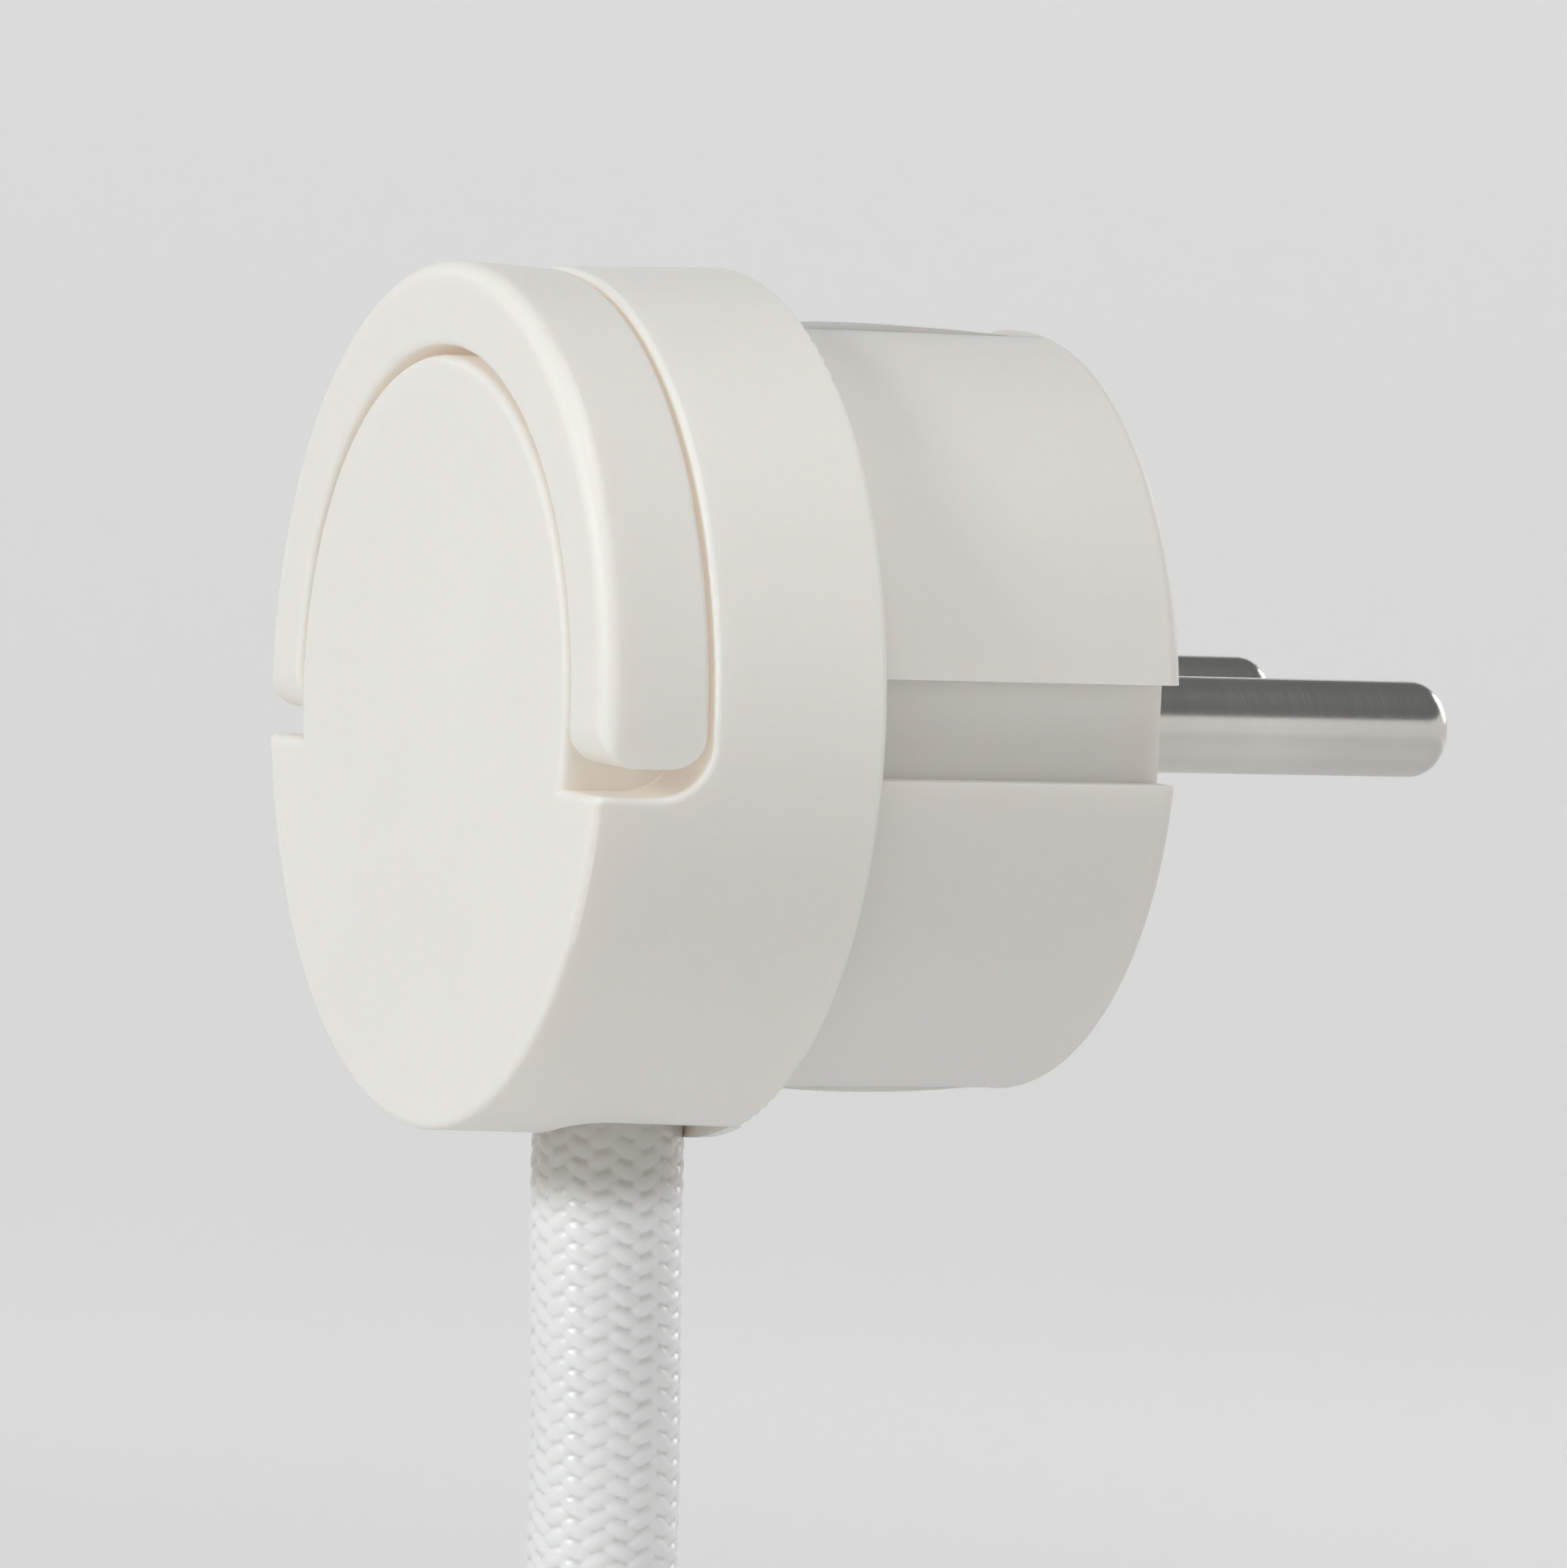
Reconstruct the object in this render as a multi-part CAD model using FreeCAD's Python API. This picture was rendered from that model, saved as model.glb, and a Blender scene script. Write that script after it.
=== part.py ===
import FreeCAD, Part
import math
import os

# A flat round mains plug with a fold-out pull ring, its braided lead and the lead's connector.
# Millimetres. The origin is the centre of the engagement face, where the two contact pins stand.
# +Y is the way the pins point, -Y is the user's side, +Z is up and the lead leaves downwards.

V = FreeCAD.Vector
ALONG_Y = V(0, 1, 0)
REACH = 60.0                    # longer than any cut has to be
MERGE = 0.5                     # how far joined forms reach into one another

# Contact pins and the part of the plug that enters a socket
pin_pitch = 19.0
pin_diameter = 4.8
pin_length = 19.0
pin_tip_round = 1.6
pin_root_diameter = 5.4         # in the insert's end wall
pin_stem_diameter = 4.0         # behind the collar
pin_fit_gap = 0.05
insert_radius = 19.0
insert_depth = 17.0
insert_wall = 3.1
insert_end_wall = 3.2
insert_edge_round = 0.8
groove_width = 4.9
groove_depth = 2.6
groove_wall = 1.8

# Cap that the hand holds
cap_depth = 14.7
cap_overhang = 2.1              # of the cap's front past the insert's side
cap_flare = 0.4                 # of the cap's rear past its front
cap_wall = 2.4
cap_face_wall = 2.0
cap_front_round = 0.4
cap_rear_round = 0.3
pocket_wall = 1.6
pocket_shoulder_z = -3.27
pocket_corner = 2.6
pocket_edge_round = 0.3
flange_depth = 2.2
flange_ledge = 0.8
fit_gap = 0.2                   # between pieces that drop into one another

# Pull ring
ring_gap = 0.5                  # between the boss and the ring
ring_floor_gap = 0.25           # behind the ring
ring_depth = 5.6
ring_width = 4.2                # across the front
ring_proud = 0.3                # past the cap's side
ring_taper = 0.3
ring_end_corner = 1.9
ring_front_round = 0.9
ring_inner_round = 0.35
ring_rear_round = 0.3
hinge_pin_diameter = 2.0
hinge_pin_in_ring = 2.6
hinge_pin_in_boss = 3.4
hinge_running_gap = 0.05
hinge_lug_width = 5.0

# Lead
cord_diameter = 7.4
cord_from_front = 10.5          # from the cap's front face to the middle of the lead
cord_channel_gap = 0.15
sheath_end_z = -8.8
cord_bend_z = -21.5             # where the lead starts to lean back towards the wall
cord_lean = 0.047               # how far it goes back for each millimetre down
cord_lean_z = -42.0
cord_turn = (-2.5, -19.35, -64.0)
cord_lay_run = 23.3             # the run that joins the coil
cord_lay_y = -18.3
notch_side = 3.3                # from the lead to each side of its notch
notch_from_front = 5.7
notch_corner = 2.0
tongue_thickness = 0.7
grommet_recess = 1.3
grommet_flange = 1.5
grommet_flange_lip = 1.2
grommet_bore_gap = 0.1

# Lead's clamp
clamp_z = -11.1
clamp_width = 3.6
clamp_thickness = 2.2
clamp_end = 2.2                 # from each screw to the bar's end
clamp_post_gap = 0.7
clamp_post_radius = 1.9
clamp_drop = 1.5                # from the lead's rear side to the bar's front
clamp_hump_side = 0.6
clamp_hump_rise = 0.8
clamp_bore_gap = 0.05

# Screws
small_screw_diameter = 2.0
small_screw_head = 3.4
small_screw_head_height = 1.2
small_screw_length = 5.6
housing_screw_diameter = 3.0
housing_screw_head = 5.4
housing_screw_head_height = 2.0
housing_screw_length = 17.0
housing_post_radius = 3.0
screw_gap = 0.1
screw_head_round = 0.25
housing_head_recess = 0.4
post_floor = 2.0                # left under each screw's hole
post_joint_setback = 1.0        # from the earth strap to where the two screw posts meet
drive_width = 0.7
drive_depth = 0.6

# Contacts inside
contact_collar_diameter = 6.4
contact_collar_thickness = 1.6
terminal_width = 6.0
terminal_height = 6.0
terminal_depth = 6.0
terminal_wire_bore = 2.9
terminal_bore_depth = 4.5
terminal_chamfer = 0.4
terminal_screw_fit = 0.02
earth_terminal_rise = 1.4       # room for the earth core between the strap's hub and its terminal
bridge_thickness = 3.0
bridge_side = 2.9               # from each pin to the bridge's end
bridge_eye_wall = 1.6
bridge_half_height = 8.5
bridge_corner = 4.0
bridge_gap = 0.1
bridge_rest_radius = 1.6
bridge_rest_x = 4.6
bridge_rest_z = -6.2
strap_width = 6.0
strap_thickness = 0.8
strap_hub_radius = 5.2
strap_recess_gap = 0.2
strap_arm_front = 1.4           # from the engagement face to the end of each side contact
strap_bow = 0.35
strap_tip_drop = 0.05
strap_setback = 6.6             # from the bridge to the strap
strap_end_room = 0.6
earth_socket_offset = 10.0
earth_socket_bore = 5.0
earth_socket_outer = 6.2
earth_socket_slit = 0.6
earth_socket_end = 0.6
earth_socket_slit_length = 5.0
earth_socket_setback = 0.3
core_diameter = 2.6
core_seat = 1.6                 # how far each core reaches into its terminal

# Lead below the plug
coil_mean_radius = 41.5
coil_rows = 2
coil_layers = 3
coil_centre_z = -136.0
coil_corner = 3.4
coil_slack = 0.1                # between the turns and the coil's outline
coil_front_layer_y = -32.6
tie_width = 12.0
tie_thickness = 1.3
tie_gap = 0.2
tie_tail = 10.0
tie_tail_thickness = 1.0

# Connector at the far end
relief_drop = 30.0              # from the coil's middle to the connector's sleeve
relief_length = 25.0
relief_wall = 1.2
relief_bottom_radius = 6.6
relief_bore_gap = 0.1
relief_rings = 4
relief_ring_width = 1.4
relief_ring_depth = 0.9
grip_width = 28.0
grip_thickness = 19.6
grip_length = 20.0
grip_corner = 5.0
grip_edge_round = 1.6
nose_width = 22.6
nose_thickness = 15.2
nose_length = 16.0
nose_chamfer = 4.2
nose_round = 0.5
contact_slot_width = 2.3
contact_slot_height = 4.6
contact_slot_depth = 13.0
contact_pitch = 14.0
contact_earth_offset = 4.0
contact_metal = 0.45
contact_fit = 0.02
contact_setback = 2.5

# Places worked out from the sizes above
seat_y = -insert_depth
front_y = seat_y - cap_depth
cord_y = front_y + cord_from_front
cap_front_radius = insert_radius + cap_overhang
cap_rear_radius = cap_front_radius + cap_flare
cap_inner_radius = cap_rear_radius - cap_wall
ring_front_radius = cap_front_radius + ring_proud
ring_rear_radius = ring_front_radius - ring_taper
ring_inner_radius = ring_front_radius - ring_width
boss_radius = ring_inner_radius - ring_gap
ring_rear_y = front_y + ring_depth
pocket_floor_y = ring_rear_y + ring_floor_gap
hinge_y = front_y + ring_depth / 2
hinge_z = 0.0
ring_end_z = hinge_z - ring_end_corner
cavity_front_y = front_y + cap_face_wall
ledge_y = seat_y - flange_depth
flange_radius = cap_inner_radius + flange_ledge - fit_gap
insert_inner_radius = insert_radius - insert_wall
insert_floor_y = -insert_end_wall
collar_front_y = insert_floor_y - contact_collar_thickness
bridge_front_y = collar_front_y - bridge_thickness
strap_rear_y = bridge_front_y - strap_setback
strap_front_y = strap_rear_y - strap_thickness
terminal_rear_y = strap_front_y
terminal_front_y = terminal_rear_y - terminal_depth
terminal_mid_y = terminal_rear_y - terminal_depth / 2
earth_terminal_z = strap_hub_radius + earth_terminal_rise + terminal_height / 2
pin_x = pin_pitch / 2
bridge_half_width = pin_x + bridge_side
sheath_radius = cord_diameter / 2
notch_half_width = sheath_radius + notch_side
clamp_screw_x = sheath_radius + clamp_post_radius + clamp_post_gap
clamp_half_length = clamp_screw_x + clamp_end
clamp_bar_y = cord_y + sheath_radius - clamp_drop
post_joint_y = strap_front_y - post_joint_setback
outer_turn_radius = coil_mean_radius + cord_diameter / 2
connector_x = -outer_turn_radius
connector_y = coil_front_layer_y
relief_top_radius = sheath_radius + relief_wall
relief_top_z = coil_centre_z - relief_drop
relief_bottom_z = relief_top_z - relief_length
grip_bottom_z = relief_bottom_z - grip_length
nose_bottom_z = grip_bottom_z - nose_length


def disc(radius, y0, y1, x=0.0, z=0.0):
    """A round bar along Y from y0 to y1."""
    return Part.makeCylinder(radius, y1 - y0, V(x, y0, z), ALONG_Y)


def frustum(r0, r1, y0, y1):
    """A tapered round bar along Y."""
    return Part.makeCone(r0, r1, y1 - y0, V(0, y0, 0), ALONG_Y)


def block(x0, x1, y0, y1, z0, z1):
    """A plain block between two corners."""
    return Part.makeBox(x1 - x0, y1 - y0, z1 - z0, V(x0, y0, z0))


def shell(outer, inner, y0, y1):
    """A round tube along Y."""
    return disc(outer, y0, y1).cut(disc(inner, y0 - 1, y1 + 1))


def rounded_edges(solid, radius, wanted):
    """The solid with every edge rounded whose middle point satisfies wanted."""
    edges = [e for e in solid.Edges if wanted(e)]
    return solid.makeFillet(radius, edges) if edges else solid


def middle(edge):
    """The point halfway along an edge."""
    return edge.valueAt((edge.FirstParameter + edge.LastParameter) / 2)


def level_y(edge, y, tolerance=0.02):
    """Whether an edge lies in the plane at y."""
    ends = [v.Point.y for v in edge.Vertexes] + [middle(edge).y]
    return all(abs(value - y) < tolerance for value in ends)


def swept_radius(point):
    """Distance of a point from the plug's axis."""
    return math.hypot(point.x, point.z)


def largest(shape):
    """The largest solid of a shape."""
    return max(shape.Solids, key=lambda s: s.Volume)


def tube_along(points, radius, name):
    """A round tube along straight runs joined by tangent arcs, as large as the runs allow."""
    points = [V(*p) for p in points]
    edges = []
    start = points[0]
    sharpest = None
    for before, here, after in zip(points, points[1:], points[2:]):
        towards = (before - here).normalize()
        onwards = (after - here).normalize()
        half_turn = (math.pi - towards.getAngle(onwards)) / 2
        run = min((before - here).Length, (after - here).Length)
        cut_back = 0.45 * run
        arc_radius = cut_back / math.tan(half_turn)
        sharpest = arc_radius if sharpest is None else min(sharpest, arc_radius)
        first = here + towards * cut_back
        last = here + onwards * cut_back
        bisector = (towards + onwards).normalize()
        apex = here + bisector * (arc_radius / math.cos(half_turn) - arc_radius)
        edges.append(Part.LineSegment(start, first).toShape())
        edges.append(Part.Arc(first, apex, last).toShape())
        start = last
    edges.append(Part.LineSegment(start, points[-1]).toShape())
    path = Part.Wire(edges)
    heading = (points[1] - points[0]).normalize()
    section = Part.Wire([Part.Circle(points[0], heading, radius).toShape()])
    tube = path.makePipeShell([section], True, False)
    share = tube.Volume / (math.pi * radius * radius * path.Length)
    print(f"{name}: length {path.Length:.1f}, sharpest radius {sharpest:.1f}, volume share {share:.4f}")
    return tube


def side_profile(points_and_corners, x0, x1):
    """A YZ outline, each corner given as (y, z, rounding), drawn out along X."""
    return outline_face(points_and_corners, lambda a, b: V(x0, a, b)).extrude(V(x1 - x0, 0, 0))


def outline_face(corners, place):
    """A flat face whose corners are (a, b, rounding); place turns (a, b) into a point."""
    edges = []
    count = len(corners)
    joints = []
    for i in range(count):
        a, b, rounding = corners[i]
        here = place(a, b)
        before = place(*corners[i - 1][:2])
        after = place(*corners[(i + 1) % count][:2])
        if rounding <= 0:
            joints.append((here, None, here))
            continue
        towards = (before - here).normalize()
        onwards = (after - here).normalize()
        half_turn = (math.pi - towards.getAngle(onwards)) / 2
        cut_back = rounding * math.tan(half_turn)
        bisector = (towards + onwards).normalize()
        apex = here + bisector * (rounding / math.cos(half_turn) - rounding)
        joints.append((here + towards * cut_back, apex, here + onwards * cut_back))
    for i in range(count):
        first, apex, last = joints[i]
        if apex is not None:
            edges.append(Part.Arc(first, apex, last).toShape())
        following = joints[(i + 1) % count][0]
        if (following - last).Length > 1e-6:
            edges.append(Part.LineSegment(last, following).toShape())
    return Part.Face(Part.Wire(edges))


def rounded_block_y(half_x, half_z, corner, y0, y1, x=0.0, z=0.0):
    """A block along Y with rounded upright corners."""
    corners = [(x - half_x, z - half_z, corner), (x + half_x, z - half_z, corner),
               (x + half_x, z + half_z, corner), (x - half_x, z + half_z, corner)]
    return outline_face(corners, lambda a, b: V(a, y0, b)).extrude(V(0, y1 - y0, 0))


def pocket_envelope(grow):
    """The space of the ring's pocket behind the front plane, grown by a wall."""
    front = front_y - 2.0
    floor = pocket_floor_y + grow
    shoulder = pocket_shoulder_z - grow
    profile = [(front, shoulder, 0), (floor, shoulder, pocket_corner + grow),
               (floor, REACH / 2, 0), (front, REACH / 2, 0)]
    space = side_profile(profile, -REACH / 2, REACH / 2)
    return space.cut(disc(boss_radius - grow, front - 1, floor + 1))


def notch(gap, z_top, rear_y):
    """The lead's notch in the cap's rim, seen from below a U that opens to the rear."""
    half = notch_half_width - gap
    front = front_y + notch_from_front + gap
    corners = [(-half, front, notch_corner), (half, front, notch_corner),
               (half, rear_y, 0), (-half, rear_y, 0)]
    return outline_face(corners, lambda a, b: V(a, b, -REACH / 2)).extrude(V(0, 0, REACH / 2 + z_top))


def hinge_hole(side, radius, x0, x1):
    """A bore along the ring's hinge axis on one side."""
    low = min(side * x0, side * x1)
    return Part.makeCylinder(radius, abs(x1 - x0), V(low, hinge_y, hinge_z), V(1, 0, 0))


def front_cap():
    """The moulded cap: face, boss, ring pocket, lead notch, screw posts and hinge lugs."""
    outer = frustum(cap_front_radius, cap_rear_radius, front_y, seat_y)
    outer = rounded_edges(outer, cap_rear_round, lambda e: level_y(e, seat_y))
    cap = outer.cut(pocket_envelope(0.0))
    cap = rounded_edges(cap, pocket_edge_round, is_pocket_rim)
    cap = rounded_edges(cap, cap_front_round, lambda e: level_y(e, front_y))
    cavity = disc(cap_inner_radius, cavity_front_y, seat_y + 1)
    cavity = cavity.cut(pocket_envelope(pocket_wall))
    cavity = cavity.fuse(disc(cap_inner_radius + flange_ledge, ledge_y, seat_y + 1))
    cap = cap.cut(cavity)
    cap = cap.cut(notch(0.0, -insert_inner_radius, seat_y + 1))
    posts = disc(housing_post_radius, cavity_front_y - MERGE, post_joint_y)
    for side in (-1, 1):
        posts = posts.fuse(disc(clamp_post_radius, cavity_front_y - MERGE, clamp_bar_y,
                                side * clamp_screw_x, clamp_z))
        posts = posts.fuse(hinge_lug(side))
    saddle = block(-sheath_radius, sheath_radius, cavity_front_y - MERGE, cord_y,
                   clamp_z - clamp_width / 2, clamp_z + clamp_width / 2)
    saddle = saddle.cut(cord_bore(clamp_bore_gap))
    cap = cap.fuse(posts).fuse(saddle)
    cap = cap.cut(disc(housing_screw_diameter / 2, cavity_front_y + post_floor, strap_front_y))
    for side in (-1, 1):
        cap = cap.cut(disc(small_screw_diameter / 2, cavity_front_y + post_floor, cord_y + sheath_radius,
                           side * clamp_screw_x, clamp_z))
        cap = cap.cut(hinge_hole(side, hinge_pin_diameter / 2 + hinge_running_gap,
                                 boss_radius - hinge_pin_in_boss - 0.2, boss_radius + 0.5))
    return largest(cap.removeSplitter())


def is_pocket_rim(edge):
    """The pocket's rim where it meets the cap's outer side."""
    point = middle(edge)
    on_side = swept_radius(point) > cap_front_radius - 0.3
    return on_side and front_y + 0.05 < point.y < pocket_floor_y + 0.1


def hinge_lug(side):
    """The thick spot behind the boss's side that a hinge pin turns in."""
    inner = boss_radius - hinge_pin_in_boss - 1.2
    outer = boss_radius - pocket_wall / 2
    half = hinge_lug_width / 2
    low = min(side * inner, side * outer)
    lug = block(low, low + outer - inner, cavity_front_y - MERGE, hinge_y + half,
                hinge_z - half, hinge_z + half)
    return lug.common(disc(outer, front_y, pocket_floor_y))


def cord_bore(gap):
    """The lead's own space inside the plug."""
    return Part.makeCylinder(sheath_radius + gap, REACH / 2, V(0, cord_y, clamp_z + 3.0), V(0, 0, -1))


def ring_section():
    """The ring's section at the bottom of the plug, with its soft front outer edge."""
    corners = [(ring_inner_radius, front_y, ring_inner_round),
               (ring_front_radius, front_y, ring_front_round),
               (ring_rear_radius, ring_rear_y, ring_rear_round),
               (ring_inner_radius, ring_rear_y, ring_rear_round)]
    return outline_face(corners, lambda a, b: V(0, b, -a))


def pull_ring():
    """The pull ring: a half ring whose ends are rounded about the hinge axis."""
    ring = ring_section().revolve(V(0, 0, 0), ALONG_Y, 360)
    profile = [(front_y, ring_end_z, ring_end_corner), (ring_rear_y, ring_end_z, ring_end_corner),
               (ring_rear_y, REACH / 2, 0), (front_y, REACH / 2, 0)]
    ring = ring.common(side_profile(profile, -REACH / 2, REACH / 2))
    for side in (-1, 1):
        ring = ring.cut(hinge_hole(side, hinge_pin_diameter / 2, ring_inner_radius - 1.0,
                                   ring_inner_radius + hinge_pin_in_ring))
    return largest(ring)


def hinge_pins():
    """Two steel pins, one in each end of the ring."""
    pins = []
    for side in (-1, 1):
        pin = hinge_hole(side, hinge_pin_diameter / 2, boss_radius - hinge_pin_in_boss,
                         ring_inner_radius + hinge_pin_in_ring)
        pins.append(pin.makeChamfer(0.2, [e for e in pin.Edges if e.Closed]))
    return Part.makeCompound(pins)


def guide_groove(side, extra):
    """One of the grooves along the insert that slide over a socket's guide ribs."""
    half = groove_width / 2 + extra
    inner = insert_radius - groove_depth - extra
    low = min(side * inner, side * REACH)
    return block(low, low + REACH - inner, seat_y, 1, -half, half)


def strap_recess(side):
    """The flat channel along the insert that a side earth contact lies in."""
    half = strap_width / 2 + strap_recess_gap
    inner = insert_radius - strap_thickness - strap_recess_gap - strap_bow
    low = min(side * inner, side * REACH)
    channel = block(-half, half, seat_y, -strap_arm_front + strap_end_room, low, low + REACH - inner)
    inner = insert_inner_radius - MERGE
    low = min(side * inner, side * REACH)
    throat = block(-half, half, ledge_y - MERGE, strap_rear_y + strap_end_room, low, low + REACH - inner)
    return channel.fuse(throat)


def insert_cavity():
    """The hollow inside the insert, walled off from the guide grooves."""
    cavity = disc(insert_inner_radius, seat_y - flange_depth - 1, insert_floor_y)
    for side in (-1, 1):
        cavity = cavity.cut(guide_groove(side, groove_wall))
    return cavity


def contact_insert():
    """The moulded insert that enters the socket, with its flange and the tongue behind the lead."""
    body = disc(insert_radius, seat_y - MERGE, 0)
    body = rounded_edges(body, insert_edge_round, lambda e: level_y(e, 0))
    body = body.fuse(disc(flange_radius, ledge_y, seat_y))
    body = body.cut(insert_cavity())
    for side in (-1, 1):
        body = body.cut(guide_groove(side, 0.0))
        body = body.cut(strap_recess(side))
    body = body.cut(notch(-0.1, -insert_inner_radius + 2.0, seat_y - tongue_thickness))
    tongue_half = notch_half_width - fit_gap
    tongue = block(-tongue_half, tongue_half, seat_y - tongue_thickness, seat_y,
                   -cap_rear_radius - 1, -insert_inner_radius)
    tongue = tongue.common(disc(cap_rear_radius - 0.02, front_y, seat_y))
    body = body.fuse(tongue)
    body = body.fuse(shell(housing_post_radius, housing_screw_diameter / 2 + screw_gap,
                           post_joint_y, insert_floor_y + MERGE))
    body = body.cut(cord_bore(cord_channel_gap))
    for side in (-1, 1):
        body = body.cut(disc(pin_root_diameter / 2 + pin_fit_gap, insert_floor_y - 1, 1, side * pin_x))
        body = body.fuse(bridge_boss(side))
    body = body.cut(disc(earth_socket_outer / 2 + pin_fit_gap, insert_floor_y - 1, 1,
                         0, earth_socket_offset))
    head_floor_y = -housing_screw_head_height - housing_head_recess
    body = body.cut(disc(housing_screw_head / 2 + screw_gap, head_floor_y, 1))
    body = body.cut(disc(housing_screw_diameter / 2 + screw_gap, insert_floor_y - 2, 1))
    return largest(body.removeSplitter())


def bridge_boss(side):
    """A spacer on the insert's floor that the contact bridge rests on."""
    return disc(bridge_rest_radius, collar_front_y, insert_floor_y + MERGE,
                side * bridge_rest_x, bridge_rest_z)


def contact_bridge():
    """The plate that holds both pins by their collars and guides the earth sleeve."""
    bridge = rounded_block_y(bridge_half_width, bridge_half_height, bridge_corner,
                             bridge_front_y, collar_front_y)
    bridge = bridge.fuse(disc(earth_socket_outer / 2 + bridge_eye_wall, bridge_front_y, collar_front_y,
                              0, earth_socket_offset))
    for side in (-1, 1):
        bridge = bridge.cut(disc(pin_stem_diameter / 2 + pin_fit_gap,
                                 bridge_front_y - 1, collar_front_y + 1, side * pin_x))
    bridge = bridge.cut(disc(earth_socket_outer / 2 + pin_fit_gap,
                             bridge_front_y - 1, collar_front_y + 1, 0, earth_socket_offset))
    bridge = bridge.cut(disc(housing_post_radius + bridge_gap, bridge_front_y - 1, collar_front_y + 1))
    return largest(bridge)


def terminal_block(x, z):
    """A brass block with a bore for the core from below and a screw from the front."""
    half_w = terminal_width / 2
    half_h = terminal_height / 2
    body = block(x - half_w, x + half_w, terminal_front_y, terminal_rear_y, z - half_h, z + half_h)
    body = body.makeChamfer(terminal_chamfer, body.Edges)
    bore = Part.makeCylinder(terminal_wire_bore / 2, terminal_bore_depth,
                             V(x, terminal_mid_y, z - half_h), V(0, 0, 1))
    screw_hole = disc(small_screw_diameter / 2 + terminal_screw_fit,
                      terminal_front_y - 1, terminal_mid_y, x, z)
    return body.cut(bore).cut(screw_hole)


def contact_pin(side):
    """A solid round pin with its collar, stem and terminal block."""
    x = side * pin_x
    pin = disc(pin_diameter / 2, -MERGE, pin_length, x)
    pin = rounded_edges(pin, pin_tip_round, lambda e: level_y(e, pin_length) and e.Closed)
    collar = disc(contact_collar_diameter / 2, collar_front_y, insert_floor_y, x)
    root = disc(pin_root_diameter / 2, insert_floor_y, 0, x)
    stem = disc(pin_stem_diameter / 2, terminal_rear_y - MERGE, collar_front_y, x)
    return largest(pin.fuse([root, collar, stem, terminal_block(x, 0)]).removeSplitter())


def strap_arm(side):
    """One side contact of the earth strap, bowed a little outwards, its tip drawn in."""
    start = strap_front_y
    end = -strap_arm_front
    inner = insert_radius - strap_bow - strap_thickness
    outer = inner + strap_thickness

    def bowed(z, y0, z0, y1, z1):
        top = V(0, (y0 + y1) / 2, side * (z + strap_bow))
        return Part.Arc(V(0, y0, side * z0), top, V(0, y1, side * z1)).toShape()

    outer_line = bowed(outer, start, outer, end, outer - strap_tip_drop)
    inner_line = bowed(inner, end, inner - strap_tip_drop, start, inner)
    tip = Part.makeLine(V(0, end, side * (outer - strap_tip_drop)),
                        V(0, end, side * (inner - strap_tip_drop)))
    heel = Part.makeLine(V(0, start, side * inner), V(0, start, side * outer))
    face = Part.Face(Part.Wire([outer_line, tip, inner_line, heel]))
    face.translate(V(-strap_width / 2, 0, 0))
    return face.extrude(V(strap_width, 0, 0))


def earth_strap():
    """The bent strip that carries both side contacts and passes round the screw post."""
    half = strap_width / 2
    reach = insert_radius - strap_bow
    strip = block(-half, half, strap_front_y, strap_rear_y, -reach, reach)
    strip = strip.fuse(disc(strap_hub_radius, strap_front_y, strap_rear_y))
    for side in (-1, 1):
        strip = strip.fuse(strap_arm(side))
    strip = strip.cut(disc(housing_post_radius + bridge_gap, strap_front_y - 1, strap_rear_y + 1))
    return largest(strip.removeSplitter())


def earth_terminal():
    """The terminal block that stands on the earth strap."""
    return terminal_block(0, earth_terminal_z)


def earth_socket():
    """The slit sleeve that takes a socket's earth pin."""
    sleeve = disc(earth_socket_outer / 2, strap_rear_y, -earth_socket_setback, 0, earth_socket_offset)
    sleeve = sleeve.cut(disc(earth_socket_bore / 2, strap_rear_y + earth_socket_end, 1,
                             0, earth_socket_offset))
    slit_rear_y = bridge_front_y - bridge_gap
    slit = block(-earth_socket_slit / 2, earth_socket_slit / 2,
                 slit_rear_y - earth_socket_slit_length, slit_rear_y,
                 earth_socket_offset, earth_socket_offset + earth_socket_outer)
    return largest(sleeve.cut(slit))


def slotted_screw(length, diameter, head, head_height, towards):
    """A cheese-head screw at the origin, head on the -Y side for towards=1, drive slot in the head."""
    shank = disc(diameter / 2, 0, length)
    cap = disc(head / 2, -head_height, 0)
    cap = rounded_edges(cap, screw_head_round, lambda e: e.Closed and level_y(e, -head_height))
    screw = cap.fuse(shank)
    screw = screw.cut(block(-head, head, -head_height - 1, -head_height + drive_depth,
                            -drive_width / 2, drive_width / 2))
    if towards < 0:
        screw.rotate(V(0, 0, 0), V(0, 0, 1), 180)
    return screw


def housing_screw():
    """The long screw that draws the insert and the cap together, driven from the engagement face."""
    screw = slotted_screw(housing_screw_length, housing_screw_diameter - screw_gap, housing_screw_head,
                          housing_screw_head_height, -1)
    screw.translate(V(0, -housing_screw_head_height - housing_head_recess, 0))
    return screw


def terminal_screws():
    """Three small screws that clamp the cores in their terminals."""
    screws = []
    for x, z in ((-pin_x, 0), (pin_x, 0), (0, earth_terminal_z)):
        length = terminal_depth / 2 - core_diameter / 2 - screw_gap
        screw = slotted_screw(length, small_screw_diameter, small_screw_head, small_screw_head_height, 1)
        screw.translate(V(x, terminal_front_y, z))
        screws.append(screw)
    return Part.makeCompound(screws)


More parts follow.
